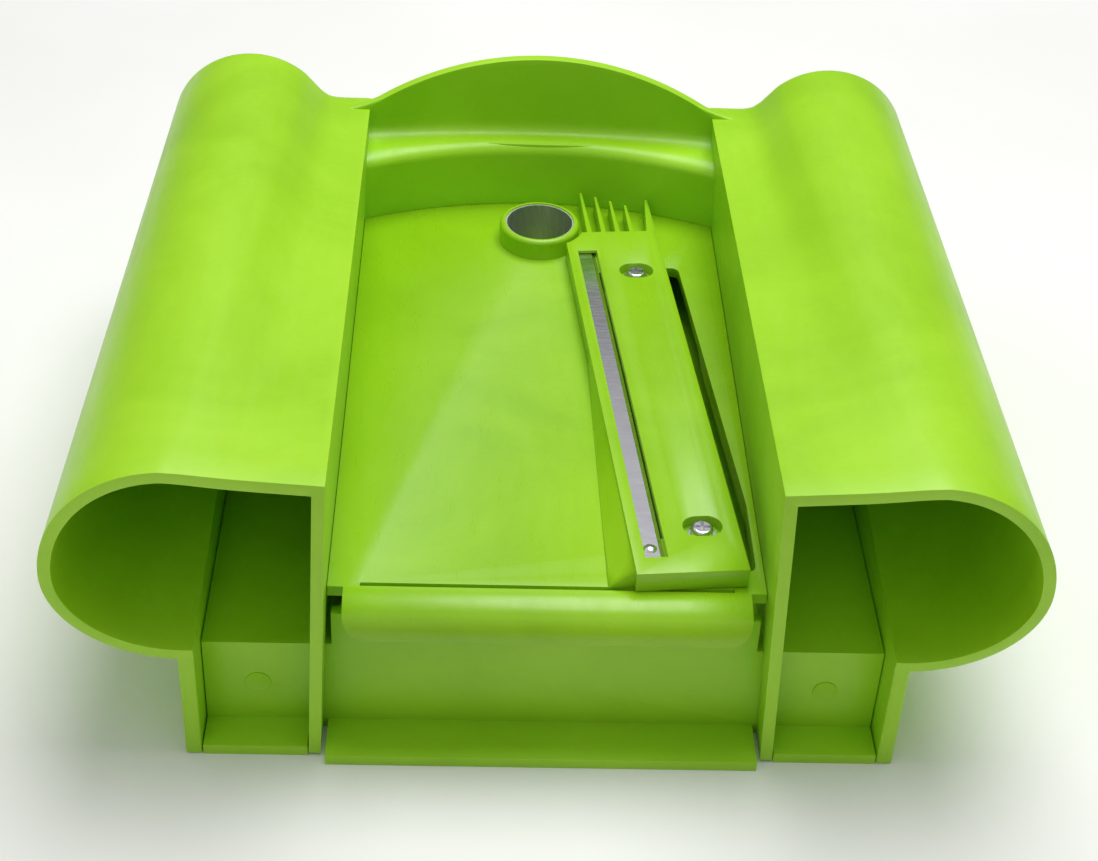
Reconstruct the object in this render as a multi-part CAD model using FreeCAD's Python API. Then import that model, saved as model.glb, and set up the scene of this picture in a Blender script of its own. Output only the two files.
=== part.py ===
import FreeCAD, Part
import math
import os

V = FreeCAD.Vector

# Vegetable cutter body: a moulded housing with two hollow lobes, a sunken trough
# between them, and a blade bed at the bottom of the trough.
# X runs across, Y from the open front to the closed back, Z up from the table.
# All sizes are in millimetres.

# ---- overall sizes ----
overall_width = 236.0
overall_depth = 204.0
wall = 3.0

# ---- housing ----
tray_reach = 3.0              # how far the base tray stands out in front of the housing
rim_front_height = 86.0
rim_back_height = 75.5
trough_width = 103.0          # between the trough walls, at the rim
wall_lean = 0.038             # how far the trough walls spread for each mm down
lobe_front_radius = 31.5
lobe_back_radius = 24.0
lobe_front_crest = 89.0
lobe_back_crest = 91.0
lobe_back_shift = 0.7         # lobe's axis moves this far out towards the back
shelf_climb_front = 1.8       # rise of the shelf from the rim to the lobe, at each end
shelf_climb_back = 0.8
lobe_flattening = 0.8         # height of a lobe's lower half against its round upper half
lobe_back_rounding = 4.0
floor_opening_rise = 1.0      # the opening under a lobe reaches this far above its floor
leg_thickness = 4.0
leg_inset = 2.5               # from the leg's inner face out to the lobe's lowest line
rib_reach = 9.5               # how far the front ribs run back
foot_gap = 0.8                # ribs stop this far above the table

# ---- arched back ----
arch_rise = 16.0
riser_bow = 12.0              # how far the middle of the wall under the ledge stands behind its ends
arch_bow = 5.0                # the same for the arched wall above the ledge
ledge_depth = 8.0             # in the middle
ledge_height = 67.0

# ---- blade bed ----
bed_height = 46.5             # top face of the bed
bed_thickness = 3.0
side_gap = 0.15
seat_gap = 0.1
rail_width = 8.0
rail_thickness = 3.0
rail_start = 26.0             # from the housing's front face
nose_length = 11.0
nose_drop = 7.5
nose_side_gap = 4.0
nose_corner = 6.0
slit_width = 1.2
slit_end_gap = 4.0            # from the slit's end to the side of the nose
slit_setback = 11.4
drop_slot_reach = 5.3         # beyond the blade block's right edge
drop_slot_cover = 3.0         # under the block's right edge
drop_slot_front = 5.6         # from the block's front end
drop_slot_back = 12.0         # from the root of the fingers
drop_slot_corner = 2.5
drop_slot_wall_gap = 2.0      # bed left between the opening and the trough wall

# ---- corer ----
corer_bore_radius = 9.8
corer_wall = 0.5
corer_length = 18.0
corer_flange_radius = 12.4
corer_flange_thickness = 0.8
boss_radius = 12.0
boss_height = 6.3
corer_recess = 0.4            # sleeve's rim below the boss
corer_from_ledge = 20.7
press_gap = 0.02

# ---- blade block ----
block_turn = 5.1              # degrees, back end towards -X
block_width = 27.6
block_height = 5.5
block_wall_gap = 4.55         # from the block's front right corner to the trough wall
block_front_setback = 10.9
block_rub_gap = 0.2
block_travel = 1.2            # each way from the middle
fence_width = 2.9
throat_width = 5.6
throat_front = 6.0
throat_back = 10.2            # from the throat's end to the root of the fingers
ramp_width = 6.4
ramp_front = 1.5
ramp_back = 62.0
ramp_edge = 0.3               # width that the ramp fades out to
ramp_drop = 0.6               # ramp's upper edge below the block's top
finger_width = 1.5
finger_count = 4
finger_root_gap = 0.15         # first finger stands this far right of the boss relief
finger_length = 22.8
finger_overlap = 2.5          # each finger runs this far into the block
finger_step = 2.6             # each next finger ends this much further forward
finger_tip_gap = 3.2          # to the back wall, over the longest finger
edge_strip_width = 3.0
edge_strip_tip = 0.8
edge_strip_setback = 4.8      # its tip stops this far before the longest finger's
boss_clearance = 0.3

# ---- blade and rivets ----
blade_thickness = 0.8
blade_width = 5.0
blade_bevel = 1.1
blade_sink = 1.2              # blade's top face below the block's top
blade_gap = 0.15
blade_edge = 0.08
blade_tuck = 2.0              # blade's back end runs this far under the block's skin
blade_tuck_gap = 0.2
rivet_radius = 1.0
rivet_head_radius = 1.7
rivet_head_height = 0.7
rivet_inset = 4.8
rivet_hole_gap = 0.3
rivet_lift = 0.1
rivet_head_gap = 0.02
pad_length = 9.0

# ---- clamp screws, washers and nuts (M3) ----
screw_radius = 1.5
screw_head_radius = 2.8
screw_head_height = 1.9
socket_width = 0.9
socket_length = 4.2
socket_depth = 0.9
thread_gap = 0.03
slot_gap = 0.2
washer_radius = 3.5
washer_thickness = 0.5
washer_hole_gap = 0.1
stack_gap = 0.15
recess_gap = 0.25
nut_flats = 5.5
nut_height = 2.4
nut_gap = 0.05
nut_boss_radius = 5.5
nut_boss_height = 3.6
screw_line = 18.7             # from the block's left edge
front_screw_setback = 16.9
back_screw_from_root = 21.5   # from the root of the fingers
screw_end_margin = 1.0        # shank below the nut
screw_head_round = 0.85
head_overlap = 0.5            # shank runs this far into its head
washer_clearance = 0.2

# ---- base tray ----
tray_wall_setback = 10.0
plinth_height = 28.5
plinth_centre_height = 38.5
tray_side_gap = 0.3
rib_slot_gap = 1.2
tray_centre_gap = 1.2

# ---- self-tapping screws ----
tapping_radius = 1.45
tapping_hole_radius = 1.5
tapping_clear_radius = 1.75
tapping_head_radius = 3.0
tapping_head_height = 2.0
cross_width = 0.8
cross_length = 3.6
cross_depth = 1.0
post_radius = 3.6
post_height = 15.0
post_wall_gap = 2.9           # from the trough wall to the post's axis
base_screw_grip = 9.0
base_screw_front = 68.0       # from the housing's front face
base_screw_back = 20.0        # from the housing's back face
bed_screw_front = 114.0
bed_screw_back = 36.0
bed_screw_inset = 4.4
tapping_head_round = 0.8
tapping_point = 1.0
tapping_tip_radius = 0.58
blind_skin = 0.4              # plastic left over a blind screw hole
blind_room = 0.2

# ---- values worked out from those above ----
front = -overall_depth / 2.0 + tray_reach
back = overall_depth / 2.0
housing_depth = back - front
trough_half = trough_width / 2.0
lobe_front_x = overall_width / 2.0 - lobe_front_radius
lobe_back_x = lobe_front_x + lobe_back_shift
lobe_front_z = lobe_front_crest - lobe_front_radius
lobe_back_z = lobe_back_crest - lobe_back_radius
leg_inner = lobe_front_x - leg_inset
leg_outer = leg_inner + leg_thickness
ledge_front = back - wall - ledge_depth
bed_bottom = bed_height - bed_thickness
block_bottom = bed_height + block_rub_gap
block_top = block_bottom + block_height
corer_y = ledge_front - corer_from_ledge
turn = math.radians(block_turn)
boss_relief = boss_radius + block_travel + boss_clearance
block_front_y = front + block_front_setback
block_right_x = trough_half + wall_lean * (rim_front_height - bed_height) - block_wall_gap
block_front_x = block_right_x - block_width * math.cos(turn)
wall_bottom = plinth_height + seat_gap
reach_through = 1.0           # a cutting tool stands this far past what it cuts
well_above = 2.0 * overall_width
same_place = 0.01             # places closer than this count as one when edges are picked


def wall_x(z):
    """Inner face of the trough wall at height z."""
    return trough_half + wall_lean * (rim_front_height - z)


def box(x0, x1, y0, y1, z0, z1):
    return Part.makeBox(x1 - x0, y1 - y0, z1 - z0, V(x0, y0, z0))


def cylinder(x, y, z0, z1, radius):
    return Part.makeCylinder(radius, z1 - z0, V(x, y, z0))


def prism(points, direction):
    """Close the points into a flat face and push it along the direction."""
    wire = Part.makePolygon(list(points) + [points[0]])
    return Part.Face(wire).extrude(direction)


def prism_y(outline, y0, y1):
    return prism([V(x, y0, z) for x, z in outline], V(0, y1 - y0, 0))


def prism_x(outline, x0, x1):
    return prism([V(x0, y, z) for y, z in outline], V(x1 - x0, 0, 0))


def fuse(shapes):
    return shapes[0].multiFuse(shapes[1:]).removeSplitter()


def mirrored(shape):
    return shape.mirror(V(0, 0, 0), V(1, 0, 0))


def both_sides(shape):
    return [shape, mirrored(shape)]


def one_solid(shape):
    """A cut or fuse returns a compound: hand back its only solid."""
    return shape.Solids[0] if len(shape.Solids) == 1 else shape


def share(start, end, part):
    return start + (end - start) * part


def in_block(shape):
    """Move a shape from the block's own axes to its place on the bed."""
    placed = shape.copy()
    placed.rotate(V(0, 0, 0), V(0, 0, 1), block_turn)
    placed.translate(V(block_front_x, block_front_y, 0))
    return placed


def block_point(u, v):
    x = block_front_x + u * math.cos(turn) - v * math.sin(turn)
    y = block_front_y + u * math.sin(turn) + v * math.cos(turn)
    return x, y


# ---- housing ----
def lobe_circle(part, inset):
    """Centre and radius of a lobe's round section, a share of the way from front to back."""
    x = share(lobe_front_x, lobe_back_x, part)
    z = share(lobe_front_z, lobe_back_z, part)
    radius = share(lobe_front_radius, lobe_back_radius, part) - inset
    return x, z, radius, front + housing_depth * part


def lobe_floor(part):
    """Height of the lobe's lowest line, a share of the way from front to back."""
    z, radius = lobe_circle(part, 0.0)[1:3]
    return z - radius * lobe_flattening


def shelf_wire(part, inset):
    """Section of the shelf beside a lobe, from the trough wall into the round section."""
    x, z, radius, y = lobe_circle(part, inset)
    rim = share(rim_front_height, rim_back_height, part) - inset
    shelf_end = rim + share(shelf_climb_front, shelf_climb_back, part)
    floor = z - radius * lobe_flattening
    shelf_x = x - math.sqrt(radius ** 2 - (shelf_end - z) ** 2)
    outline = [V(wall_x(floor) + inset, y, floor), V(wall_x(rim) + inset, y, rim),
               V(shelf_x, y, shelf_end), V(x, y, z), V(x, y, floor)]
    return Part.makePolygon(outline + [outline[0]])


def flattened(cone):
    """Keep a lobe's upper half and lower its underside's height, along its sloping axis."""
    slope = (lobe_back_z - lobe_front_z) / housing_depth
    ends = [(y, lobe_front_z + slope * (y - front)) for y in (front - wall, back + wall)]
    above = prism_x([ends[0], ends[1], (ends[1][0], well_above),
                     (ends[0][0], well_above)], 0, overall_width)
    below = prism_x([ends[0], ends[1], (ends[1][0], -overall_width),
                     (ends[0][0], -overall_width)], 0, overall_width)
    squash = FreeCAD.Matrix()
    squash.A33 = lobe_flattening
    squash.A32 = (1 - lobe_flattening) * slope
    squash.A34 = (1 - lobe_flattening) * (lobe_front_z - slope * front)
    lower = cone.transformGeometry(squash).common(below)
    return one_solid(cone.common(above).fuse(lower))


def lobe_solid(part_end, inset):
    """Lobe and its shelf; a larger inset gives the hollow inside."""
    rings = []
    for part in (0.0, part_end):
        x, z, radius, y = lobe_circle(part, inset)
        rings.append(Part.Wire(Part.Circle(V(x, y, z), V(0, 1, 0), radius).toShape()))
    round_part = Part.makeLoft(rings, True, True)
    shelf_part = Part.makeLoft([shelf_wire(0.0, inset), shelf_wire(part_end, inset)], True, True)
    return round_part, shelf_part


def lobe_shell():
    round_part, shelf_part = lobe_solid(1.0, 0.0)
    cap = [e for e in round_part.Edges if abs(e.BoundBox.YMin - back) < same_place]
    outer = flattened(round_part.makeFillet(lobe_back_rounding, cap)).fuse(shelf_part)
    hollow_round, hollow_shelf = lobe_solid(1.0 - wall / housing_depth, wall)
    shell = outer.cut(flattened(hollow_round)).cut(hollow_shelf)
    low_front = lobe_floor(0.0) + wall + floor_opening_rise
    low_back = lobe_floor(1.0) + wall + floor_opening_rise
    start = front - reach_through
    floor_cut = prism_x([(start, -1), (back - wall, -1), (back - wall, low_back),
                         (start, low_front)], wall_x(low_back) + wall, leg_inner)
    tray_cut = box(trough_half, leg_inner, front + rib_reach, back - wall, 0, wall_bottom)
    return shell.cut(floor_cut).cut(tray_cut)


def trough_wall(z0, z1, y0, y1):
    return prism_y([(wall_x(z0), z0), (wall_x(z0) + wall, z0),
                    (wall_x(z1) + wall, z1), (wall_x(z1), z1)], y0, y1)


def leg():
    top_front = lobe_floor(0.0) + wall / 2.0
    top_back = lobe_floor(1.0) + wall / 2.0
    return prism_x([(front, 0), (back, 0), (back, top_back), (front, top_front)],
                   leg_inner, leg_outer)


def bowed_solid(face_y, thickness, bow, half_width, z0, z1):
    """Upright wall that bows back in the middle; face_y is its front face there."""
    radius = (half_width ** 2 + bow ** 2) / (2 * bow)
    outer = Part.makeCylinder(radius + thickness, z1 - z0, V(0, face_y - radius, z0))
    inner = Part.makeCylinder(radius, z1 - z0, V(0, face_y - radius, z0))
    slab = box(-half_width, half_width, face_y - 2 * bow, face_y + 2 * thickness, z0, z1)
    return outer.cut(inner).common(slab)


def in_front_of_bow(face_y, half_width, z0, z1):
    """Everything up to the bowed face, for trimming what ends at it."""
    radius = (half_width ** 2 + riser_bow ** 2) / (2 * riser_bow)
    disc = Part.makeCylinder(radius, z1 - z0, V(0, face_y - radius, z0))
    return disc.common(box(-half_width, half_width, front, face_y + reach_through, z0, z1))


def arch_wall():
    half = wall_x(rim_back_height) + wall
    plate = bowed_solid(back - wall, wall, arch_bow, half, ledge_height - wall,
                        rim_back_height + arch_rise)
    radius = (half ** 2 + arch_rise ** 2) / (2 * arch_rise)
    disc = Part.makeCylinder(radius, housing_depth, V(0, front, rim_back_height + arch_rise - radius),
                             V(0, 1, 0))
    return plate.common(disc)


def back_wall():
    half = wall_x(ledge_height) + wall / 2.0
    ledge = box(-half, half, ledge_front - 2 * riser_bow, back, ledge_height - wall, ledge_height)
    ledge = ledge.cut(in_front_of_bow(ledge_front, half, 0, rim_front_height))
    riser = bowed_solid(ledge_front, wall, riser_bow, half, bed_bottom - rail_thickness, ledge_height)
    outer_panel = box(-leg_outer, leg_outer, back - wall, back, 0, lobe_floor(1.0) + wall)
    middle_panel = box(-half, half, back - wall, back, 0, ledge_height)
    return [ledge, riser, outer_panel, middle_panel]


def bed_rail():
    face = wall_x(bed_bottom)
    top = bed_bottom - seat_gap
    ends = (front + rail_start, ledge_front - riser_bow + wall)
    rail = box(face - rail_width, face + wall / 2.0, ends[0], ends[1], top - rail_thickness, top)
    for x, y in bed_screw_places():
        rail = rail.cut(cylinder(x, y, 0, bed_height, tapping_clear_radius))
    return rail


def bed_screw_places():
    """Screws on the right side that hold the bed to its rail."""
    x = wall_x(bed_bottom) - bed_screw_inset
    return [(x, front + bed_screw_front), (x, back - bed_screw_back)]


def base_screw_places():
    """Screws on the right side that hold the base tray to the posts."""
    x = wall_x(plinth_height) + wall + post_wall_gap
    first = front + base_screw_front
    last = back - base_screw_back
    return [(x, first), (x, (first + last) / 2.0), (x, last)]


def body_shell():
    pieces = both_sides(lobe_shell())
    wall_join = rim_back_height - wall
    pieces += both_sides(trough_wall(wall_bottom, wall_join, front, back - wall / 2.0))
    pieces += both_sides(trough_wall(foot_gap, wall_bottom + wall, front, front + rib_reach))
    pieces += both_sides(leg())
    pieces += back_wall()
    pieces.append(arch_wall())
    pieces += [bed_rail().cut(drop_slot()), mirrored(bed_rail())]
    holes = []
    for x, y in base_screw_places():
        pieces += both_sides(cylinder(x, y, wall_bottom, wall_bottom + post_height, post_radius))
        hole_top = plinth_height + base_screw_grip + blind_room
        holes += both_sides(cylinder(x, y, plinth_height, hole_top, tapping_hole_radius))
    shell = pieces[0].multiFuse(pieces[1:])
    return one_solid(shell.cut(Part.makeCompound(holes)))


# ---- blade bed ----
def nose():
    """Front lip of the bed: curves down from the bed's top face."""
    half = wall_x(bed_height) - nose_side_gap
    y0 = front
    y1 = front + nose_length
    drop = nose_drop
    rise = drop - bed_thickness
    middle = math.sqrt(0.5)
    z = bed_height
    top_mid = V(-half, y1 - nose_length * middle, z - drop * (1 - middle))
    inner_mid = V(-half, y1 - (nose_length - bed_thickness) * middle,
                  z - bed_thickness - rise * (1 - middle))
    outer_arc = Part.Arc(V(-half, y1, z), top_mid, V(-half, y0, z - drop))
    inner_arc = Part.Arc(V(-half, y0 + bed_thickness, z - drop), inner_mid,
                         V(-half, y1, z - bed_thickness))
    edges = [
        outer_arc.toShape(),
        Part.LineSegment(V(-half, y0, z - drop), V(-half, y0 + bed_thickness, z - drop)).toShape(),
        inner_arc.toShape(),
        Part.LineSegment(V(-half, y1, z - bed_thickness), V(-half, y1, z)).toShape(),
    ]
    lip = Part.Face(Part.Wire(edges)).extrude(V(2 * half, 0, 0))
    lower = z - drop
    guard = box(-half, half, y0 - reach_through, y1 + reach_through, lower, z + reach_through)
    corners = [e for e in guard.Edges
               if abs(e.CenterOfMass.z - lower) < same_place
               and abs(abs(e.CenterOfMass.x) - half) < same_place
               and abs(e.Vertexes[0].Y - e.Vertexes[1].Y) > nose_length]
    return lip.common(guard.makeFillet(nose_corner, corners))


def hexagon(x, y, z0, z1, flats):
    corner = flats / math.sqrt(3)
    points = []
    for step in range(6):
        angle = math.radians(60 * step)
        points.append(V(x + corner * math.cos(angle), y + corner * math.sin(angle), z0))
    return prism(points, V(0, 0, z1 - z0))


def clamp_setbacks():
    return [front_screw_setback, block_length() - back_screw_from_root]


def clamp_places():
    return [block_point(screw_line, v) for v in clamp_setbacks()]


def throat_end():
    return block_length() - throat_back


def block_length():
    """Along the block, from its front end to the root of its fingers."""
    reach = ledge_front - finger_tip_gap - block_front_y
    return reach / math.cos(turn) - finger_length


def drop_slot():
    """Tool for the opening beside the blade block, which runs along the block's edge."""
    u0 = block_width - drop_slot_cover
    u1 = block_width + drop_slot_reach
    v1 = block_length() - drop_slot_back
    cut = in_block(box(u0, u1, drop_slot_front, v1, 0, rim_front_height))
    side = wall_x(bed_height) - drop_slot_wall_gap
    cut = one_solid(cut.common(box(0, side, front, back, 0, rim_front_height)))
    uprights = [e for e in cut.Edges if abs(e.Vertexes[0].Z - e.Vertexes[1].Z) > bed_height]
    return cut.makeFillet(drop_slot_corner, uprights)


def blade_bed():
    half = wall_x(bed_height) - side_gap
    y0 = front + nose_length
    plate = box(-half, half, y0, back, bed_bottom, bed_height)
    plate = plate.common(in_front_of_bow(ledge_front - side_gap, wall_x(ledge_height) + wall / 2.0,
                                         0, rim_front_height))
    middle = bed_height - bed_thickness / 2.0
    solid = [plate, nose(), cylinder(0, corer_y, middle, bed_height + boss_height, boss_radius)]
    boss_low = bed_bottom - nut_boss_height
    for x, y in clamp_places():
        solid.append(cylinder(x, y, boss_low, middle, nut_boss_radius))
    bed = fuse(solid)
    cuts = [cylinder(0, corer_y, 0, rim_front_height, corer_bore_radius + corer_wall + press_gap)]
    for x, y in clamp_places():
        cuts.append(cylinder(x, y, 0, rim_front_height, screw_radius + slot_gap))
        pocket_top = boss_low + nut_height + stack_gap
        cuts.append(hexagon(x, y, boss_low - reach_through, pocket_top, nut_flats + 2 * nut_gap))
    slit_y = front + slit_setback
    slit_half = wall_x(bed_height) - nose_side_gap - slit_end_gap
    cuts.append(box(-slit_half, slit_half, slit_y, slit_y + slit_width, 0, rim_front_height))
    cuts.append(drop_slot())
    drop = box(fence_width - block_travel, fence_width + throat_width + block_travel,
               throat_front + pad_length, throat_end() - pad_length, 0, rim_front_height)
    cuts.append(in_block(drop))
    for x, y in bed_screw_places():
        cuts += both_sides(cylinder(x, y, 0, bed_height - blind_skin, tapping_hole_radius))
    return one_solid(bed.cut(Part.makeCompound(cuts)))


def corer_sleeve():
    outer = corer_bore_radius + corer_wall
    top = bed_height + boss_height - corer_recess
    flange_top = bed_bottom - seat_gap
    tube = cylinder(0, corer_y, top - corer_length, top, outer)
    flange = cylinder(0, corer_y, flange_top - corer_flange_thickness, flange_top, corer_flange_radius)
    bore = cylinder(0, corer_y, 0, rim_front_height, corer_bore_radius)
    return one_solid(tube.fuse(flange).cut(bore).removeSplitter())


# ---- blade block ----
def fingers():
    """Comb at the block's back end: slim fingers and a wider strip at the right edge."""
    root = block_length()
    start = root - finger_overlap
    strip_left = block_width - edge_strip_width
    relief_u = -block_front_x * math.cos(turn) + (corer_y - block_front_y) * math.sin(turn)
    first_finger = relief_u + boss_relief + finger_root_gap + finger_width / 2.0
    pitch = (strip_left - first_finger) / finger_count
    shapes = []
    for index in range(finger_count):
        u = first_finger + index * pitch
        tip = root + finger_length - index * finger_step
        shapes.append(prism([V(u - finger_width / 2.0, start, block_bottom),
                             V(u + finger_width / 2.0, start, block_bottom),
                             V(u + finger_width / 4.0, tip, block_bottom),
                             V(u - finger_width / 4.0, tip, block_bottom)],
                            V(0, 0, block_height)))
    strip_end = root + finger_length - edge_strip_setback
    strip = prism([V(strip_left, start, block_bottom),
                   V(block_width, start, block_bottom),
                   V(block_width, strip_end, block_bottom),
                   V(block_width - edge_strip_tip, strip_end, block_bottom)],
                  V(0, 0, block_height))
    shapes.append(strip)
    return shapes


def ramp():
    """Sloping face along the left edge that widens towards the front."""
    far = block_length() - ramp_back
    low = block_bottom
    tall = block_height - ramp_drop
    start = Part.makePolygon([V(0, ramp_front, low), V(-ramp_width, ramp_front, low),
                              V(0, ramp_front, low + tall), V(0, ramp_front, low)])
    end = Part.makePolygon([V(0, far, low), V(-ramp_edge, far, low), V(0, far, low + tall),
                            V(0, far, low)])
    return Part.makeLoft([start, end], True, True)


def slot(u, v, z0, z1, radius, travel):
    """Round-ended slot along the block's own X."""
    middle = Part.makeBox(2 * travel, 2 * radius, z1 - z0, V(u - travel, v - radius, z0))
    ends = [Part.makeCylinder(radius, z1 - z0, V(u + side * travel, v, z0)) for side in (-1, 1)]
    return fuse([middle] + ends)


def blade_block():
    length = block_length()
    body = Part.makeBox(block_width, length, block_height, V(0, 0, block_bottom))
    solid = fuse([body, ramp()] + fingers())
    blade_under = block_top - blade_sink - blade_thickness
    u0 = fence_width
    u1 = fence_width + throat_width
    v1 = throat_end()
    cuts = [Part.makeBox(u1 - u0, v1 - throat_front, block_height, V(u0, throat_front, blade_under)),
            Part.makeBox(u1 - u0, v1 - throat_front - 2 * pad_length, 2 * block_height,
                         V(u0, throat_front + pad_length, block_bottom - reach_through))]
    u, v = rivet_place()
    cuts.append(Part.makeCylinder(rivet_radius + press_gap, block_height,
                                  V(u, v, block_bottom - reach_through)))
    cuts.append(Part.makeCylinder(rivet_head_radius + rivet_hole_gap,
                                  rivet_head_height + rivet_hole_gap, V(u, v, block_bottom)))
    tuck = blade_tuck + blade_tuck_gap
    cuts.append(Part.makeBox(u1 - u0, tuck, blade_thickness + blade_tuck_gap, V(u0, v1, blade_under)))
    over = block_top + reach_through
    for v in clamp_setbacks():
        cuts.append(slot(screw_line, v, block_bottom - reach_through, over,
                         screw_radius + slot_gap, block_travel))
        cuts.append(slot(screw_line, v, washer_seat(), over, washer_radius + recess_gap, block_travel))
    solid = in_block(solid.cut(Part.makeCompound(cuts)))
    return one_solid(solid.cut(cylinder(0, corer_y, 0, rim_front_height, boss_relief)))


def washer_seat():
    """Height of the recess floor that a clamp washer lies on."""
    return block_top - screw_head_height - washer_thickness - 2 * stack_gap - washer_clearance


def rivet_place():
    return rivet_inset, throat_front + pad_length / 2.0


def slicing_blade():
    u0 = fence_width + blade_gap
    u1 = u0 + blade_width
    top = block_top - blade_sink
    under = top - blade_thickness + blade_gap
    v0 = throat_front + blade_gap
    v1 = throat_end() + blade_tuck
    outline = [V(u0, v0, under), V(u1, v0, under), V(u1, v0, under + blade_edge),
               V(u1 - blade_bevel, v0, top), V(u0, v0, top)]
    blade = prism(outline, V(0, v1 - v0, 0))
    u, v = rivet_place()
    hole = Part.makeCylinder(rivet_radius + press_gap, block_height, V(u, v, block_bottom))
    return in_block(blade.cut(hole))


def blade_rivet():
    u, v = rivet_place()
    low = block_bottom + rivet_lift
    top = block_top - blade_sink + rivet_head_gap
    shank = Part.makeCylinder(rivet_radius, top - low + rivet_head_height / 2.0, V(u, v, low))
    dome_radius = (rivet_head_radius ** 2 + rivet_head_height ** 2) / (2 * rivet_head_height)
    ball = Part.makeSphere(dome_radius, V(u, v, top + rivet_head_height - dome_radius))
    dome = ball.common(Part.makeCylinder(rivet_head_radius, block_height, V(u, v, top)))
    tail = Part.makeCylinder(rivet_head_radius, rivet_head_height, V(u, v, low))
    return one_solid(in_block(fuse([shank, dome, tail])))


# ---- fasteners ----
def clamp_screw(x, y):
    """Pan-head machine screw with a cross recess, standing head up."""
    head_low = washer_seat() + washer_thickness + 2 * stack_gap
    head_top = head_low + screw_head_height
    tip = bed_bottom - nut_boss_height - screw_end_margin
    head = cylinder(x, y, head_low, head_top, screw_head_radius)
    rim = [e for e in head.Edges if e.Curve.TypeId == "Part::GeomCircle"
           and abs(e.CenterOfMass.z - head_top) < same_place]
    head = head.makeFillet(screw_head_round, rim)
    shank = cylinder(x, y, tip, head_low + head_overlap, screw_radius)
    recess = cross(x, y, head_top - socket_depth, head_top + reach_through, socket_width, socket_length)
    return one_solid(fuse([head, shank]).cut(recess))


def cross(x, y, z0, z1, width, length):
    """Cross-shaped tool for a driver recess."""
    bars = [box(x - length / 2.0, x + length / 2.0, y - width / 2.0, y + width / 2.0, z0, z1),
            box(x - width / 2.0, x + width / 2.0, y - length / 2.0, y + length / 2.0, z0, z1)]
    return fuse(bars)


def clamp_washer(x, y):
    low = washer_seat() + stack_gap
    disc = cylinder(x, y, low, low + washer_thickness, washer_radius)
    return disc.cut(cylinder(x, y, 0, rim_front_height, screw_radius + washer_hole_gap))


def clamp_nut(x, y):
    low = bed_bottom - nut_boss_height
    nut = hexagon(x, y, low, low + nut_height, nut_flats)
    return nut.cut(cylinder(x, y, 0, rim_front_height, screw_radius + thread_gap))


def tapping_screw(x, y, seat, tip):
    """Self-tapping screw driven upwards, its head under the seat."""
    head_low = seat - tapping_head_height
    head = cylinder(x, y, head_low, seat, tapping_head_radius)
    rim = [e for e in head.Edges if e.Curve.TypeId == "Part::GeomCircle"
           and abs(e.CenterOfMass.z - head_low) < same_place]
    head = head.makeFillet(tapping_head_round, rim)
    point_low = tip - tapping_point
    point = Part.makeCone(tapping_radius, tapping_tip_radius, tapping_point, V(x, y, point_low))
    shank = cylinder(x, y, seat - head_overlap, point_low, tapping_radius)
    recess = cross(x, y, head_low - reach_through, head_low + cross_depth, cross_width, cross_length)
    return one_solid(fuse([head, shank, point]).cut(recess))


def bed_screws():
    seat = bed_bottom - seat_gap - rail_thickness
    tip = bed_height - blind_skin - blind_room
    screws = []
    for x, y in bed_screw_places():
        screws += both_sides(tapping_screw(x, y, seat, tip))
    return Part.makeCompound(screws)


def base_screws():
    tip = plinth_height + base_screw_grip
    screws = []
    for x, y in base_screw_places():
        screws += both_sides(tapping_screw(x, y, plinth_height - wall, tip))
    return Part.makeCompound(screws)


# ---- base tray ----
def base_pan():
    side = leg_inner - tray_side_gap
    rib_in = wall_x(foot_gap) - rib_slot_gap
    rib_out = wall_x(foot_gap) + wall + tray_side_gap
    y_wall = front + tray_wall_setback
    centre_half = wall_x(plinth_centre_height) - tray_centre_gap
    y_back = back - wall - tray_side_gap
    pieces = [
        box(-rib_in, rib_in, front - tray_reach, y_wall + wall, 0, wall),
        box(-side, side, y_wall, y_wall + wall, 0, plinth_height),
        box(-side, side, y_wall, y_back, plinth_height - wall, plinth_height),
        box(-centre_half, centre_half, y_wall, y_wall + wall, 0, plinth_centre_height),
    ]
    pieces += both_sides(box(rib_out, side, front, y_wall + wall, 0, wall))
    pan = fuse(pieces)
    cuts = []
    for x, y in base_screw_places():
        cuts += both_sides(cylinder(x, y, 0, rim_front_height, tapping_clear_radius))
    return one_solid(pan.cut(Part.makeCompound(cuts)))


def build_all():
    front_place, back_place = clamp_places()
    return {
        "body_shell": body_shell(),
        "blade_bed": blade_bed(),
        "base_pan": base_pan(),
        "corer_sleeve": corer_sleeve(),
        "blade_block": blade_block(),
        "slicing_blade": slicing_blade(),
        "blade_rivet": blade_rivet(),
        "front_clamp_screw": clamp_screw(*front_place),
        "rear_clamp_screw": clamp_screw(*back_place),
        "front_clamp_washer": clamp_washer(*front_place),
        "rear_clamp_washer": clamp_washer(*back_place),
        "front_clamp_nut": clamp_nut(*front_place),
        "rear_clamp_nut": clamp_nut(*back_place),
        "bed_screws": bed_screws(),
        "base_screws": base_screws(),
    }


def main():
    os.makedirs("parts", exist_ok=True)
    for name, shape in build_all().items():
        print(name, "solids", len(shape.Solids), "valid", shape.isValid(), "volume", round(shape.Volume, 1))
        shape.exportStep("parts/" + name + ".step")


main()
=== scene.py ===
import math

import bmesh
import bpy
from mathutils import Matrix, Vector


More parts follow.
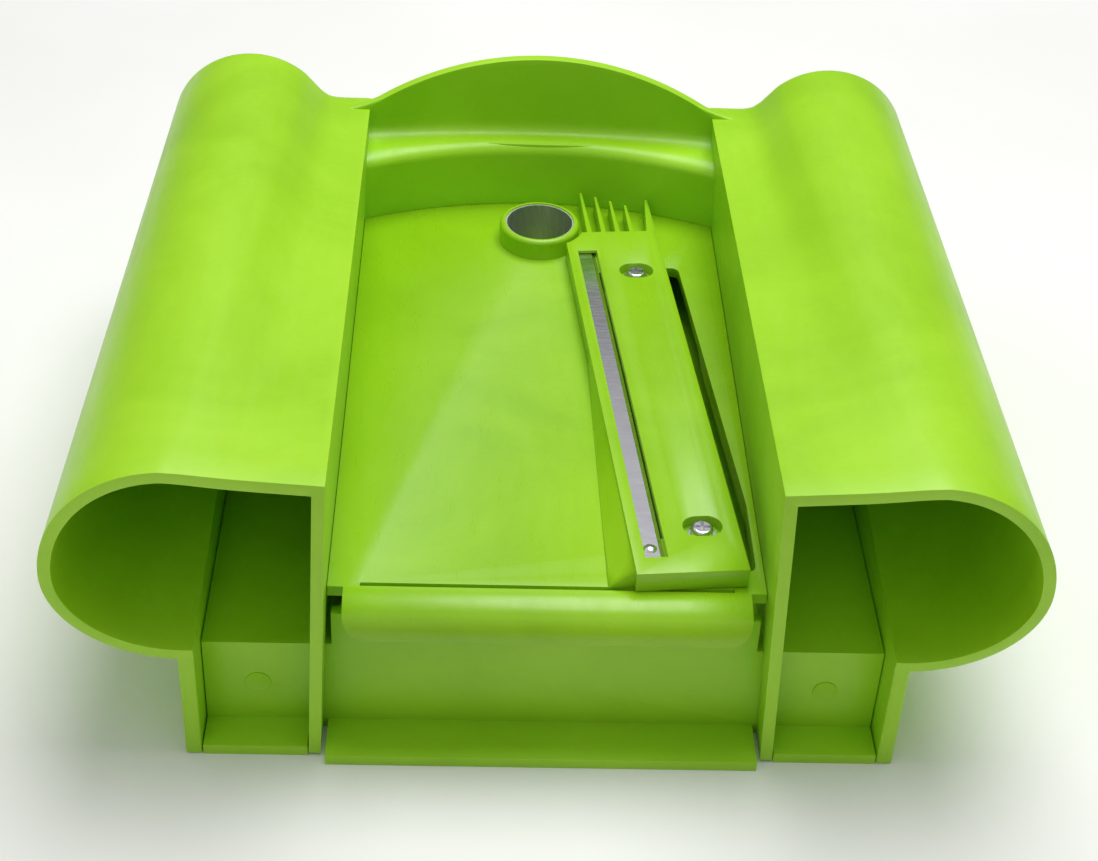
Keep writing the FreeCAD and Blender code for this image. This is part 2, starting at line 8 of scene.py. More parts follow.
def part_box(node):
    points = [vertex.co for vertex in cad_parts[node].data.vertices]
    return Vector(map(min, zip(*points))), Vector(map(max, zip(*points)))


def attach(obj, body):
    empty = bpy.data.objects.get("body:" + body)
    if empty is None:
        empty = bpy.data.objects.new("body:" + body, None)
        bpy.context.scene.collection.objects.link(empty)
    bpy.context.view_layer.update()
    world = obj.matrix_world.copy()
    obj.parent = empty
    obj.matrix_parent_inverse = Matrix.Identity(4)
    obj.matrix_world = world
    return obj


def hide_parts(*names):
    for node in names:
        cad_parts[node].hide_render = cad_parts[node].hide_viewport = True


# A moulded vegetable cutter body: two hollow lobes beside a sunken trough, an arched back,
# and a blade bed with a ring corer and a comb-ended blade block.
# Sizes are written in millimetres and turned to metres as each piece is finished.

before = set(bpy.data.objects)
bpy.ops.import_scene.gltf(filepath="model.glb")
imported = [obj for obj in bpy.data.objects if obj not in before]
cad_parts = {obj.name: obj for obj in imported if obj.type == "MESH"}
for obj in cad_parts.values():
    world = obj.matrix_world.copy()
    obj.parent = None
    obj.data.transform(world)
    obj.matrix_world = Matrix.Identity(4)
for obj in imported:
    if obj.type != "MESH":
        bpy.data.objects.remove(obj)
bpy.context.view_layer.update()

MM = 0.001

# ---- the housing's own sizes, the same as the frame's ----
shell_low, shell_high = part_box("body_shell")
bed_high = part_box("blade_bed")[1]
FRONT = shell_low[1] / MM
BACK = shell_high[1] / MM
HALF_WIDTH = shell_high[0] / MM
DEPTH = BACK - FRONT
WALL = 3.0
RIM_FRONT = 86.0
RIM_BACK = 75.5
TROUGH_HALF = 51.5
WALL_LEAN = 0.038
LOBE_FRONT_RADIUS = 31.5
LOBE_BACK_RADIUS = 24.0
LOBE_FRONT_CREST = 89.0
LOBE_BACK_CREST = 91.0
LOBE_SHIFT = 0.7
SHELF_CLIMB_FRONT = 1.8
SHELF_CLIMB_BACK = 0.8
LOBE_FLATTENING = 0.8
BACK_ROUNDING = 4.0
LEG_INNER = 84.0
LEG_OUTER = 88.0
RIB_REACH = 9.5
FOOT_GAP = 0.8
WALL_FOOT = 28.6
ARCH_RISE = 16.0
RISER_BOW = 12.0
ARCH_BOW = 5.0
LEDGE_FRONT = 91.0
LEDGE_HEIGHT = 67.0
RISER_FOOT = 40.5
RAIL_TOP = 43.4
RAIL_THICKNESS = 3.0
RAIL_WIDTH = 8.0
RAIL_START = 26.0
BED_HEIGHT = 46.5
BLOCK_WIDTH = 27.6
BLOCK_SETBACK = 10.9
BLOCK_WALL_GAP = 4.55
SLOT_REACH = 5.3
POST_RADIUS = 3.6
POST_TAPER = 0.2
POST_HEIGHT = 15.0
POST_WALL_GAP = 2.9
POST_FRONT = 68.0
POST_BACK = 20.0
MARK_RADIUS = 3.1
MARK_TAPER = 0.1
MARK_DEPTH = 0.5
MARK_PLACE = (70.5, 9.95, 15.5)   # x, how far behind the housing's front, and height
BLOCK_TURN = math.radians(5.1)


def wall_x(z):
    """Trough wall's face at height z."""
    return TROUGH_HALF + WALL_LEAN * (RIM_FRONT - z)


def between(start, end, part):
    return start + (end - start) * part


# ---- materials ----
def colour(code):
    """sRGB hex to linear RGBA."""
    parts = [int(code[i:i + 2], 16) / 255.0 for i in (1, 3, 5)]
    return [p / 12.92 if p <= 0.04045 else ((p + 0.055) / 1.055) ** 2.4 for p in parts] + [1.0]


def add(tree, kind, settings=None, links=None):
    """Add a node; settings go on its sockets or itself, links join its inputs to outputs."""
    item = tree.nodes.new(kind)
    for key, value in (settings or {}).items():
        if isinstance(key, str) and hasattr(item, key) and key not in item.inputs:
            setattr(item, key, value)
        else:
            item.inputs[key].default_value = value
    for key, source in (links or {}).items():
        tree.links.new(source, item.inputs[key])
    return item


def per_mm(size):
    """Pattern scale that gives features of this many millimetres."""
    return 1.0 / (size * MM)


def ramp(tree, source, stops):
    item = add(tree, "ShaderNodeValToRGB", links={"Fac": source})
    band = item.color_ramp
    while len(band.elements) < len(stops):
        band.elements.new(0.5)
    for element, (place, value) in zip(band.elements, stops):
        element.position = place
        element.color = value
    return item.outputs["Color"]


def grey(value):
    return (value, value, value, 1.0)


def new_material(name):
    material = bpy.data.materials.new(name)
    material.use_nodes = True
    tree = material.node_tree
    tree.nodes.clear()
    shader = add(tree, "ShaderNodeBsdfPrincipled")
    add(tree, "ShaderNodeOutputMaterial", links={"Surface": shader.outputs["BSDF"]})
    place = add(tree, "ShaderNodeTexCoord").outputs["Object"]
    return material, tree, shader, place


def lime_plastic(name, deep, middle, pale, roughness):
    """Glossy injection-moulded polypropylene: even lime colour with faint flow clouds,
    a fine mould grain, shallow sink waves, rubbed streaks, and a painted highlight that turns sharp convex
    edges paler."""
    material, tree, shader, place = new_material(name)
    flow = add(tree, "ShaderNodeTexNoise",
               {"Scale": per_mm(55.0), "Detail": 4.0, "Roughness": 0.55, "Distortion": 0.6},
               {"Vector": place})
    speck = add(tree, "ShaderNodeTexNoise", {"Scale": per_mm(1.6), "Detail": 3.0}, {"Vector": place})
    cloud = add(tree, "ShaderNodeMath", {"operation": "MULTIPLY_ADD", 1: 0.12},
                {0: speck.outputs["Fac"], 2: flow.outputs["Fac"]})
    body = ramp(tree, cloud.outputs[0], [(0.38, colour(deep)), (0.56, colour(middle)), (0.78, colour(pale))])
    # Painted highlight: sharp convex edges (high pointiness) are mixed towards the pale lime, as if catching
    # the light.
    edge = add(tree, "ShaderNodeNewGeometry")
    edge_painted_highlight = ramp(tree, edge.outputs["Pointiness"], [(0.50, grey(0.0)), (0.60, grey(0.35))])
    mixed = add(tree, "ShaderNodeMix", {"data_type": "RGBA", 7: colour(pale)}, {0: edge_painted_highlight, 6: body})
    tree.links.new(mixed.outputs[2], shader.inputs["Base Color"])
    rub_space = add(tree, "ShaderNodeMapping", {"Scale": (1.0, 0.18, 1.0), "Rotation": (0.0, 0.0, 0.35)},
                    {"Vector": place})
    rub = add(tree, "ShaderNodeTexNoise", {"Scale": per_mm(3.0), "Detail": 6.0, "Roughness": 0.65},
              {"Vector": rub_space.outputs[0]})
    gloss = add(tree, "ShaderNodeMapRange",
                {"From Min": 0.3, "From Max": 0.75, "To Min": roughness - 0.05, "To Max": roughness + 0.10},
                {"Value": rub.outputs["Fac"]})
    tree.links.new(gloss.outputs[0], shader.inputs["Roughness"])
    sink = add(tree, "ShaderNodeTexNoise", {"Scale": per_mm(26.0), "Detail": 1.0}, {"Vector": place})
    waves = add(tree, "ShaderNodeBump", {"Strength": 0.16, "Distance": 0.6 * MM},
                {"Height": sink.outputs["Fac"]})
    grain = add(tree, "ShaderNodeTexNoise", {"Scale": per_mm(0.7), "Detail": 4.0, "Roughness": 0.6},
                {"Vector": place})
    skin = add(tree, "ShaderNodeBump", {"Strength": 0.16, "Distance": 0.05 * MM},
               {"Height": grain.outputs["Fac"], "Normal": waves.outputs[0]})
    tree.links.new(skin.outputs[0], shader.inputs["Normal"])
    shader.inputs["IOR"].default_value = 1.49
    shader.inputs["Coat Weight"].default_value = 0.05
    shader.inputs["Coat Roughness"].default_value = 0.12
    return material


def steel(name, dark, light, roughness, stretch, line_mm, turn=0.0):
    """Bare steel: fine machining lines one way, small stains and a soft sheen."""
    material, tree, shader, place = new_material(name)
    space = add(tree, "ShaderNodeMapping", {"Scale": stretch, "Rotation": (0.0, 0.0, turn)},
                {"Vector": place})
    lines = add(tree, "ShaderNodeTexNoise", {"Scale": per_mm(line_mm), "Detail": 5.0, "Roughness": 0.6},
                {"Vector": space.outputs[0]})
    stain = add(tree, "ShaderNodeTexNoise", {"Scale": per_mm(7.0), "Detail": 3.0}, {"Vector": place})
    blend = add(tree, "ShaderNodeMath", {"operation": "MULTIPLY_ADD", 1: 0.4},
                {0: stain.outputs["Fac"], 2: lines.outputs["Fac"]})
    tone = ramp(tree, blend.outputs[0], [(0.45, colour(dark)), (0.95, colour(light))])
    tree.links.new(tone, shader.inputs["Base Color"])
    gloss = add(tree, "ShaderNodeMapRange",
                {"From Min": 0.3, "From Max": 0.7, "To Min": roughness - 0.06, "To Max": roughness + 0.1},
                {"Value": lines.outputs["Fac"]})
    tree.links.new(gloss.outputs[0], shader.inputs["Roughness"])
    bump = add(tree, "ShaderNodeBump", {"Strength": 0.25, "Distance": 0.03 * MM},
               {"Height": lines.outputs["Fac"]})
    tree.links.new(bump.outputs[0], shader.inputs["Normal"])
    shader.inputs["Metallic"].default_value = 1.0
    return material


def pale_board():
    """Plain pale table top: matt lacquered board with a barely visible grain."""
    material, tree, shader, place = new_material("matt_lacquered_board")
    cloud = add(tree, "ShaderNodeTexNoise", {"Scale": per_mm(180.0), "Detail": 3.0}, {"Vector": place})
    tone = ramp(tree, cloud.outputs["Fac"], [(0.35, colour("#F4F4F2")), (0.7, colour("#FBFBFA"))])
    tree.links.new(tone, shader.inputs["Base Color"])
    grain = add(tree, "ShaderNodeTexNoise", {"Scale": per_mm(2.0), "Detail": 3.0}, {"Vector": place})
    bump = add(tree, "ShaderNodeBump", {"Strength": 0.05, "Distance": 0.1 * MM},
               {"Height": grain.outputs["Fac"]})
    tree.links.new(bump.outputs[0], shader.inputs["Normal"])
    shader.inputs["Roughness"].default_value = 0.7
    return material


HOUSING_LIME = lime_plastic("moulded_lime_polypropylene", "#96D012", "#9FD91A", "#AAE228", 0.37)
# The bed and block use the same lime plastic made darker: painted shade for the parts that sit down in the
# trough.
TROUGH_SHADE_BED_LIME = lime_plastic("moulded_lime_polypropylene_bed_painted_shade", "#88BE0C", "#91C712", "#9BD01E", 0.30)
TROUGH_SHADE_BLOCK_LIME = lime_plastic("moulded_lime_polypropylene_block_painted_shade", "#88BE0E", "#91C716", "#9BD022", 0.30)
BLADE_STEEL = steel("ground_stainless_steel", "#DCDCE4", "#F0F0F6", 0.14, (0.08, 1.0, 1.0), 0.5, -BLOCK_TURN)
SLEEVE_STEEL = steel("drawn_stainless_tube", "#BCC0C0", "#DADCDC", 0.5, (1.0, 1.0, 0.08), 0.5)
PLATED_STEEL = steel("bright_zinc_plated_steel", "#C9CBD0", "#F0F1F5", 0.16, (1.0, 1.0, 1.0), 0.8)


# ---- mesh helpers ----
def finish_piece(bm, name, material, thickness=0.0, bevel=0.0, segments=2,
                 body="housing", smooth_angle=38.0, bevel_angle=40.0):
    """Turn a bmesh in millimetres to a finished piece that rides on a body."""
    bmesh.ops.scale(bm, vec=(MM, MM, MM), verts=bm.verts)
    mesh = bpy.data.meshes.new(name + "_draft")
    bm.to_mesh(mesh)
    bm.free()
    piece = bpy.data.objects.new(name, mesh)
    bpy.context.scene.collection.objects.link(piece)
    if thickness:
        wall = piece.modifiers.new("wall", "SOLIDIFY")
        wall.thickness = thickness * MM
        wall.offset = -1.0
        wall.use_even_offset = True
        wall.use_quality_normals = True
    if bevel:
        edge = piece.modifiers.new("edges", "BEVEL")
        edge.width = bevel * MM
        edge.segments = segments
        edge.limit_method = "ANGLE"
        edge.angle_limit = math.radians(bevel_angle)
        edge.use_clamp_overlap = True
    if piece.modifiers:
        seen = piece.evaluated_get(bpy.context.evaluated_depsgraph_get())
        piece.data = bpy.data.meshes.new_from_object(seen)
        piece.modifiers.clear()
        bpy.data.meshes.remove(mesh)
    piece.data.name = name
    piece.data.materials.clear()
    piece.data.materials.append(material)
    piece.data.shade_smooth()
    piece.data.set_sharp_from_angle(angle=math.radians(smooth_angle))
    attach(piece, body)
    return piece


def cuboid(bm, x0, x1, y0, y1, z0, z1):
    made = bmesh.ops.create_cube(bm, size=1.0)["verts"]
    bmesh.ops.scale(bm, vec=(x1 - x0, y1 - y0, z1 - z0), verts=made)
    bmesh.ops.translate(bm, vec=((x0 + x1) / 2, (y0 + y1) / 2, (z0 + z1) / 2), verts=made)
    return made


def both_sides(bm):
    """Add the mirror image of everything, with its faces turned the right way."""
    made = bmesh.ops.duplicate(bm, geom=bm.verts[:] + bm.edges[:] + bm.faces[:])["geom"]
    verts = [g for g in made if isinstance(g, bmesh.types.BMVert)]
    faces = [g for g in made if isinstance(g, bmesh.types.BMFace)]
    bmesh.ops.scale(bm, vec=(-1, 1, 1), verts=verts)
    bmesh.ops.reverse_faces(bm, faces=faces)


# ---- lobes, shelves and trough walls ----
SHELF_CUTS = 9
ARC_STEPS = 72
VALLEY_REACH = 6              # vertices softened each way from the valley beside a lobe
VALLEY_SMOOTHING = 14


def lobe_circle(part):
    x = HALF_WIDTH - LOBE_FRONT_RADIUS + LOBE_SHIFT * part
    radius = between(LOBE_FRONT_RADIUS, LOBE_BACK_RADIUS, part)
    crest = between(LOBE_FRONT_CREST, LOBE_BACK_CREST, part)
    return x, crest - radius, radius


def lobe_floor(part):
    x, z, radius = lobe_circle(part)
    return z - radius * LOBE_FLATTENING


def lobe_section(bm, y, tuck):
    """One chain across the shell: trough wall, rim, shelf, and round the lobe to its leg.
    tuck draws the lobe in, for the rounded back."""
    part = (y - FRONT) / DEPTH
    x, z, radius = lobe_circle(part)
    rim = between(RIM_FRONT, RIM_BACK, part)
    shelf_end = rim + between(SHELF_CLIMB_FRONT, SHELF_CLIMB_BACK, part)
    shelf_x = x - math.sqrt(radius ** 2 - (shelf_end - z) ** 2)
    start = math.atan2(shelf_end - z, shelf_x - x)
    end = -math.pi / 2 - math.asin((x - LEG_INNER) / radius)
    chain = [bm.verts.new((wall_x(FOOT_GAP), y, FOOT_GAP)), bm.verts.new((wall_x(WALL_FOOT), y, WALL_FOOT)),
             bm.verts.new((wall_x(rim), y, rim))]
    for index in range(1, SHELF_CUTS + 1):
        share = index / (SHELF_CUTS + 1)
        chain.append(bm.verts.new((between(wall_x(rim), shelf_x, share), y,
                                   between(rim, shelf_end, share))))
    first = bm.verts.new((shelf_x, y, shelf_end))
    bmesh.ops.spin(bm, geom=[first], cent=(x, y, z), axis=(0, 1, 0), dvec=(0, 0, 0),
                   angle=start - end, steps=ARC_STEPS, use_duplicate=False)
    chain.append(first)
    here = first
    used = {first}
    while True:
        onward = [e.other_vert(here) for e in here.link_edges if e.other_vert(here) not in used]
        if not onward:
            break
        here = onward[0]
        used.add(here)
        chain.append(here)
    for a, b in zip(chain[:2 + SHELF_CUTS + 1], chain[1:3 + SHELF_CUTS + 1]):
        bm.edges.new((a, b))
    for vert in chain[3 + SHELF_CUTS:]:
        vert.co.z = z + (vert.co.z - z) * (LOBE_FLATTENING if vert.co.z < z else 1.0)
    valley = 3 + SHELF_CUTS
    soft = chain[valley - VALLEY_REACH:valley + VALLEY_REACH + 1]
    for _ in range(VALLEY_SMOOTHING):
        bmesh.ops.smooth_vert(bm, verts=soft, factor=0.5, use_axis_x=True, use_axis_y=False, use_axis_z=True)
    if tuck:
        middle = Vector((x, y, z))
        for index, vert in enumerate(chain[3:]):
            weight = min(1.0, index / (SHELF_CUTS + 2))
            pull = (middle - vert.co).normalized() * tuck * weight
            vert.co += pull
    return chain


def lobe_half(bm):
    stations = [(FRONT, 0.0), (FRONT + RIB_REACH, 0.0)]
    plain_end = BACK - BACK_ROUNDING
    spans = 14
    for index in range(1, spans + 1):
        stations.append((between(FRONT + RIB_REACH, plain_end, index / spans), 0.0))
    steps = 6
    for index in range(1, steps + 1):
        angle = math.pi / 2 * index / steps
        stations.append((plain_end + BACK_ROUNDING * math.sin(angle), BACK_ROUNDING * (1 - math.cos(angle))))
    chains = [lobe_section(bm, y, tuck) for y, tuck in stations]
    for ahead, behind in zip(chains, chains[1:]):
        edges = []
        for chain in (ahead, behind):
            for a, b in zip(chain, chain[1:]):
                edges.append(bm.edges.get((a, b)))
        bmesh.ops.bridge_loops(bm, edges=edges)
    under = [f for f in bm.faces if f.calc_center_median().z < WALL_FOOT
             and f.calc_center_median().y > FRONT + RIB_REACH and f.calc_center_median().x < wall_x(0) + 1]
    bmesh.ops.delete(bm, geom=under, context="FACES")
    bm.faces.new(chains[-1][1:])
    bmesh.ops.recalc_face_normals(bm, faces=bm.faces)
    crest = max(bm.faces, key=lambda f: f.calc_center_median().z)
    if crest.normal.z < 0:
        bmesh.ops.reverse_faces(bm, faces=bm.faces)


def housing_skin():
    """Both lobes with their shelves and trough walls, each one continuous moulded wall."""
    pieces = []
    for side, name in ((1, "right_lobe_skin"), (-1, "left_lobe_skin")):
        bm = bmesh.new()
        lobe_half(bm)
        if side < 0:
            bmesh.ops.scale(bm, vec=(-1, 1, 1), verts=bm.verts)
            bmesh.ops.reverse_faces(bm, faces=bm.faces)
        pieces.append(finish_piece(bm, name, HOUSING_LIME, thickness=WALL, bevel=0.7, segments=3))
    return pieces


def legs():
    bm = bmesh.new()
    made = cuboid(bm, LEG_INNER, LEG_OUTER, FRONT, BACK, 0.0, 1.0)
    for vert in made:
        if vert.co.z > 0.5:
            part = (vert.co.y - FRONT) / DEPTH
            vert.co.z = lobe_floor(part) + WALL * 0.6
    both_sides(bm)
    return finish_piece(bm, "lobe_legs", HOUSING_LIME, bevel=0.6, segments=3)


# ---- arched back ----
def arch_profile():
    """Side view of the riser, the rounded ledge and the arched wall, from the foot up."""
    rounding = 3.8
    hollow = 3.6
    turns = 8
    wall_face = BACK - WALL
    points = [(LEDGE_FRONT, RISER_FOOT), (LEDGE_FRONT, 52.0), (LEDGE_FRONT, LEDGE_HEIGHT - rounding)]
    for index in range(1, turns + 1):
        angle = math.pi / 2 * index / turns
        points.append((LEDGE_FRONT + rounding * (1 - math.cos(angle)),
                       LEDGE_HEIGHT - rounding * (1 - math.sin(angle))))
    points.append((wall_face - hollow, LEDGE_HEIGHT))
    for index in range(1, turns + 1):
        angle = math.pi / 2 * index / turns
        points.append((wall_face - hollow * (1 - math.sin(angle)),
                       LEDGE_HEIGHT + hollow * (1 - math.cos(angle))))
    top = RIM_BACK + ARCH_RISE
    rows = 10
    low = LEDGE_HEIGHT + hollow
    points += [(wall_face, between(low, top, index / rows)) for index in range(1, rows + 1)]
    return points


def bow(x, half, depth):
    """How far forward a bowed wall has come at x, against its middle."""
    radius = (half ** 2 + depth ** 2) / (2 * depth)
    return radius - math.sqrt(radius ** 2 - x ** 2)


def arched_back():
    profile = arch_profile()
    columns = 96
    half = wall_x(RIM_BACK) + WALL * 0.5
    wall_face = BACK - WALL
    arch_radius = (half ** 2 + ARCH_RISE ** 2) / (2 * ARCH_RISE)
    bm = bmesh.new()
    bmesh.ops.create_grid(bm, x_segments=columns, y_segments=len(profile) - 1, size=1.0)
    for vert in bm.verts:
        row = round((vert.co.y + 1) / 2 * (len(profile) - 1))
        x = half * math.sin(vert.co.x * math.pi / 2)
        y, z = profile[row]
        if z > RIM_BACK:
            crown = math.sqrt(arch_radius ** 2 - x ** 2) - (arch_radius - ARCH_RISE)
            z = RIM_BACK + (z - RIM_BACK) * (crown + 0.3) / (ARCH_RISE + 0.3)
        share = (y - LEDGE_FRONT) / (wall_face - LEDGE_FRONT)
        vert.co = (x, y - between(bow(x, half, RISER_BOW), bow(x, half, ARCH_BOW), share), z)
    bmesh.ops.recalc_face_normals(bm, faces=bm.faces)
    low = min(bm.faces, key=lambda f: f.calc_center_median().z)
    if low.normal.y > 0:
        bmesh.ops.reverse_faces(bm, faces=bm.faces)
    return finish_piece(bm, "arched_back", HOUSING_LIME, thickness=WALL, bevel=0.8, segments=3)


def arch_fillets():
    """Soft corners where the arch runs out on to the shelves."""
    half = wall_x(RIM_BACK) + WALL * 0.5
    radius = (half ** 2 + ARCH_RISE ** 2) / (2 * ARCH_RISE)
    start_x = half - 11.0
    start_z = RIM_BACK + math.sqrt(radius ** 2 - start_x ** 2) - (radius - ARCH_RISE) - 0.05
    shelf_z = RIM_BACK + 0.5
    slope = -start_x / math.sqrt(radius ** 2 - start_x ** 2)
    corner_x = start_x + (shelf_z - start_z) / slope
    end_x = corner_x + 8.0
    columns = 24
    bm = bmesh.new()
    bmesh.ops.create_grid(bm, x_segments=columns, y_segments=1, size=1.0)
    for vert in bm.verts:
        t = (vert.co.x + 1) / 2
        x = (1 - t) ** 2 * start_x + 2 * t * (1 - t) * corner_x + t ** 2 * end_x
        top = (1 - t) ** 2 * start_z + 2 * t * (1 - t) * shelf_z + t ** 2 * shelf_z
        z = top if vert.co.y > 0 else RIM_BACK - 1.5
        vert.co = (x, BACK - WALL - bow(x, half, ARCH_BOW) + 0.05, z)
    bmesh.ops.recalc_face_normals(bm, faces=bm.faces)
    low = min(bm.faces, key=lambda f: f.calc_center_median().z)
    if low.normal.y > 0:
        bmesh.ops.reverse_faces(bm, faces=bm.faces)
    both_sides(bm)
    return finish_piece(bm, "arch_fillets", HOUSING_LIME, thickness=WALL - 0.2, bevel=0.8, segments=3)


def back_panels():
    """Flat outer panel that closes the housing below the lobes and behind the ledge."""
    bm = bmesh.new()
    floor_line = lobe_floor(1.0)
    cuboid(bm, -LEG_OUTER, LEG_OUTER, BACK - WALL, BACK, 0.0, floor_line + WALL)
    half = wall_x(LEDGE_HEIGHT) + WALL / 2
    cuboid(bm, -half, half, BACK - WALL + 0.02, BACK - 0.02, floor_line, LEDGE_HEIGHT - 0.02)
    cuboid(bm, -half, half, LEDGE_FRONT + 1, BACK - 1, LEDGE_HEIGHT - WALL, LEDGE_HEIGHT - 0.3)
    return finish_piece(bm, "back_panels", HOUSING_LIME, bevel=0.5)


def slot_edge():
    """A point on the outer edge of the slot beside the blade block."""
    corner_x = TROUGH_HALF + WALL_LEAN * (RIM_FRONT - BED_HEIGHT) - BLOCK_WALL_GAP
    return Vector((corner_x + SLOT_REACH * math.cos(BLOCK_TURN),
                   FRONT + BLOCK_SETBACK + (BLOCK_WIDTH + SLOT_REACH) * math.sin(BLOCK_TURN), RAIL_TOP))


def inner_supports():
    """Rails under the bed, the right one cut back by the slot, and the screw posts."""
    bm = bmesh.new()
    face = wall_x(RAIL_TOP)
    rail = (FRONT + RAIL_START, LEDGE_FRONT - RISER_BOW + WALL / 2, RAIL_TOP - RAIL_THICKNESS, RAIL_TOP)
    cuboid(bm, -face - WALL / 2, RAIL_WIDTH - face, *rail)
    slot_side = Vector((math.cos(BLOCK_TURN), math.sin(BLOCK_TURN), 0.0))
    open_side = bmesh.new()
    cuboid(open_side, face - RAIL_WIDTH, face + WALL / 2, *rail)
    bmesh.ops.bisect_plane(open_side, geom=open_side.verts[:] + open_side.edges[:] + open_side.faces[:],
                           plane_co=slot_edge(), plane_no=slot_side, clear_inner=True)
    bmesh.ops.holes_fill(open_side, edges=open_side.edges)
    finish_piece(open_side, "slotted_bed_rail", HOUSING_LIME, bevel=0.3)
    post_x = wall_x(WALL_FOOT) + WALL + POST_WALL_GAP
    first, last = FRONT + POST_FRONT, BACK - POST_BACK
    for y in (first, (first + last) / 2, last):
        for x in (post_x, -post_x):
            made = bmesh.ops.create_cone(bm, cap_ends=True, segments=40, radius1=POST_RADIUS,
                                         radius2=POST_RADIUS - POST_TAPER, depth=POST_HEIGHT)["verts"]
            bmesh.ops.translate(bm, vec=(x, y, WALL_FOOT + POST_HEIGHT / 2), verts=made)
    return finish_piece(bm, "bed_rail_and_posts", HOUSING_LIME, bevel=0.4)


# ---- pieces taken over from the frame with rounded edges ----
def rounded_copy(node, name, material, width, body, segments=2, soft_rim=None):
    """Merge a copy of a node's triangles to whole faces and round its edges.
    soft_rim is the centre, radius, height and rounding of a boss's upper edge."""
    bm = bmesh.new()
    bm.from_mesh(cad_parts[node].data)
    bmesh.ops.scale(bm, vec=(1 / MM, 1 / MM, 1 / MM), verts=bm.verts)
    bmesh.ops.remove_doubles(bm, verts=bm.verts, dist=0.002)
    bmesh.ops.dissolve_limit(bm, angle_limit=math.radians(0.6), verts=bm.verts, edges=bm.edges,
                             use_dissolve_boundaries=False)
    if soft_rim:
        x, y, radius, height, rounding = soft_rim
        rim = [e for e in bm.edges
               if all(abs(math.hypot(v.co.x - x, v.co.y - y) - radius) < 0.05 and abs(v.co.z - height) < 0.05
                      for v in e.verts)]
        bmesh.ops.bevel(bm, geom=rim, offset=rounding, affect="EDGES", segments=6, profile=0.5, material=-1)
    piece = finish_piece(bm, name, material, bevel=width, segments=segments, body=body,
                         bevel_angle=50.0)
    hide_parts(node)
    return piece


def ejector_marks():
    """Shallow round witness marks of the mould's pins on the tray's front walls."""
    bm = bmesh.new()
    made = bmesh.ops.create_cone(bm, cap_ends=True, segments=48, radius1=MARK_RADIUS,
                                 radius2=MARK_RADIUS - MARK_TAPER, depth=MARK_DEPTH)["verts"]
    bmesh.ops.rotate(bm, verts=made, cent=(0, 0, 0), matrix=Matrix.Rotation(math.radians(90), 3, "X"))
    x, setback, z = MARK_PLACE
    bmesh.ops.translate(bm, vec=(x, FRONT + setback, z), verts=made)
    rim = [f for f in bm.faces if abs(f.normal.y) > 0.9]
    bmesh.ops.inset_region(bm, faces=rim, thickness=0.7, depth=-0.15)
    both_sides(bm)
    return finish_piece(bm, "ejector_marks", HOUSING_LIME)


def dress(node, material):
    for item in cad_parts[node].material_slots:
        item.material = material


for skin in housing_skin():
    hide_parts("body_shell")
legs()
arched_back()
arch_fillets()
back_panels()
inner_supports()
ejector_marks()
sleeve_low, sleeve_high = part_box("corer_sleeve")
CORER_Y = (sleeve_low[1] + sleeve_high[1]) / 2 / MM
BOSS_RADIUS = 12.0
rounded_copy("blade_bed", "bed_plate", TROUGH_SHADE_BED_LIME, 0.5, "housing",
             soft_rim=(0.0, CORER_Y, BOSS_RADIUS, bed_high[2] / MM, 1.4))
rounded_copy("base_pan", "base_tray", HOUSING_LIME, 0.5, "housing")
rounded_copy("blade_block", "comb_block", TROUGH_SHADE_BLOCK_LIME, 0.3, "block_carriage")
dress("slicing_blade", BLADE_STEEL)
dress("blade_rivet", PLATED_STEEL)
dress("corer_sleeve", SLEEVE_STEEL)
for fastener in ("front_clamp_screw", "rear_clamp_screw", "front_clamp_washer", "rear_clamp_washer",
                 "front_clamp_nut", "rear_clamp_nut", "bed_screws", "base_screws"):
    dress(fastener, PLATED_STEEL)


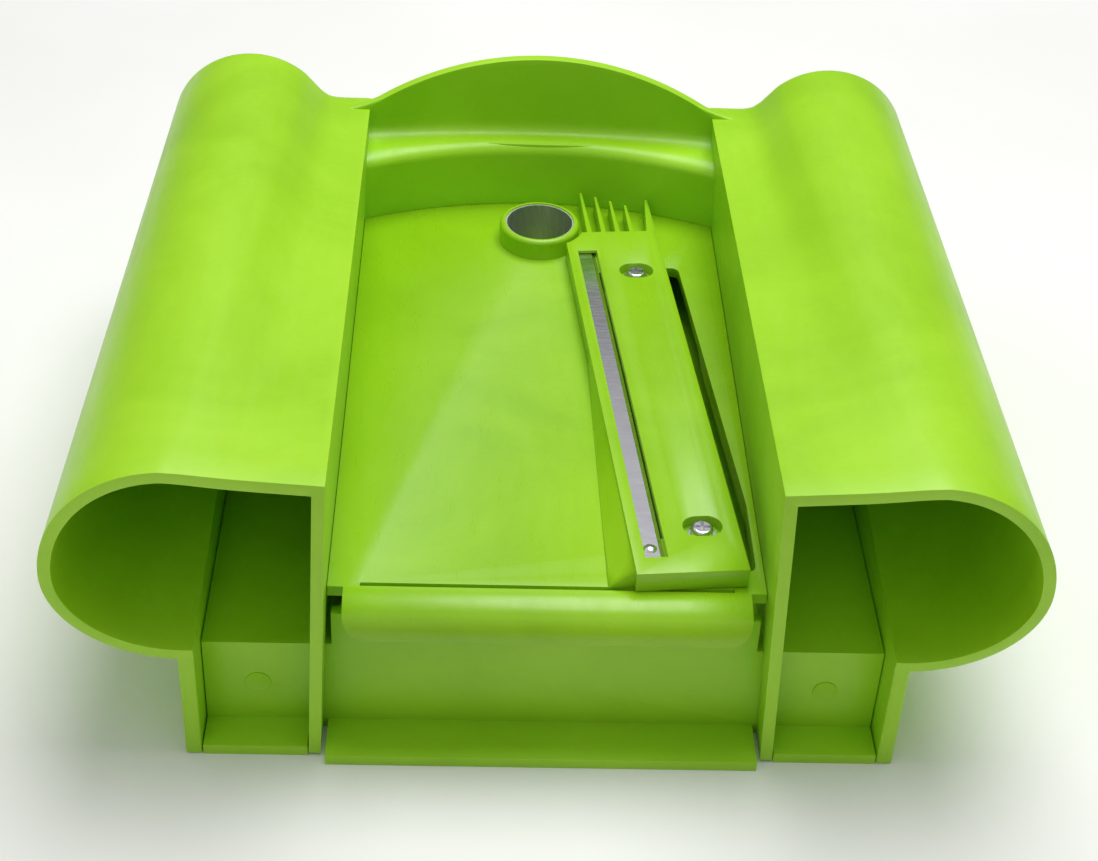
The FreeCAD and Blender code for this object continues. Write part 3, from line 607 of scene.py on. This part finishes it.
# ---- floor, light and camera ----
def floor():
    bm = bmesh.new()
    bmesh.ops.create_grid(bm, x_segments=1, y_segments=1, size=3.0)
    mesh = bpy.data.meshes.new("table_top")
    bm.to_mesh(mesh)
    bm.free()
    board = bpy.data.objects.new("table_top", mesh)
    bpy.context.scene.collection.objects.link(board)
    mesh.materials.append(pale_board())


def soft_light(name, place, aim, size, power, tint):
    lamp = bpy.data.lights.new(name, "AREA")
    lamp.shape = "DISK"
    lamp.size = size
    lamp.energy = power
    lamp.color = tint
    holder = bpy.data.objects.new(name, lamp)
    bpy.context.scene.collection.objects.link(holder)
    holder.location = place
    holder.rotation_euler = (Vector(aim) - Vector(place)).to_track_quat("-Z", "Y").to_euler()


def studio():
    world = bpy.data.worlds.new("pale_studio")
    bpy.context.scene.world = world
    world.use_nodes = True
    tree = world.node_tree
    back = tree.nodes["Background"]
    way = add(tree, "ShaderNodeTexCoord")
    height = add(tree, "ShaderNodeSeparateXYZ", links={0: way.outputs["Generated"]})
    glow = add(tree, "ShaderNodeMapRange", {"interpolation_type": "SMOOTHSTEP", "From Min": 0.54,
               "From Max": 0.62, "To Min": 0.16, "To Max": 0.56}, {"Value": height.outputs["Z"]})
    back.inputs["Color"].default_value = (1.0, 1.0, 1.0, 1.0)
    tree.links.new(glow.outputs[0], back.inputs["Strength"])
    soft_light("overhead_softbox", (0.12, 0.22, 1.05), (0, 0, 0.05), 0.8, 8.6, (1.0, 0.995, 0.98))
    soft_light("front_fill", (-0.5, -1.1, 0.6), (0, 0, 0.03), 0.7, 0.5, (0.97, 0.98, 1.0))


def camera():
    """Long lens, looking down at the open front."""
    data = bpy.data.cameras.new("camera")
    data.lens = 65.57
    data.sensor_width = 36.0
    data.sensor_fit = "HORIZONTAL"
    data.clip_start = 0.01
    data.clip_end = 20.0
    holder = bpy.data.objects.new("camera", data)
    bpy.context.scene.collection.objects.link(holder)
    turn = (Matrix.Rotation(math.radians(-2.86), 4, "Z") @ Matrix.Rotation(math.radians(90 - 37.38), 4, "X")
            @ Matrix.Rotation(math.radians(3.01), 4, "Z"))
    holder.matrix_world = Matrix.Translation((-0.01965, -0.44507, 0.36786)) @ turn
    bpy.context.scene.camera = holder


floor()
studio()
camera()
bpy.context.scene.view_settings.view_transform = "Standard"
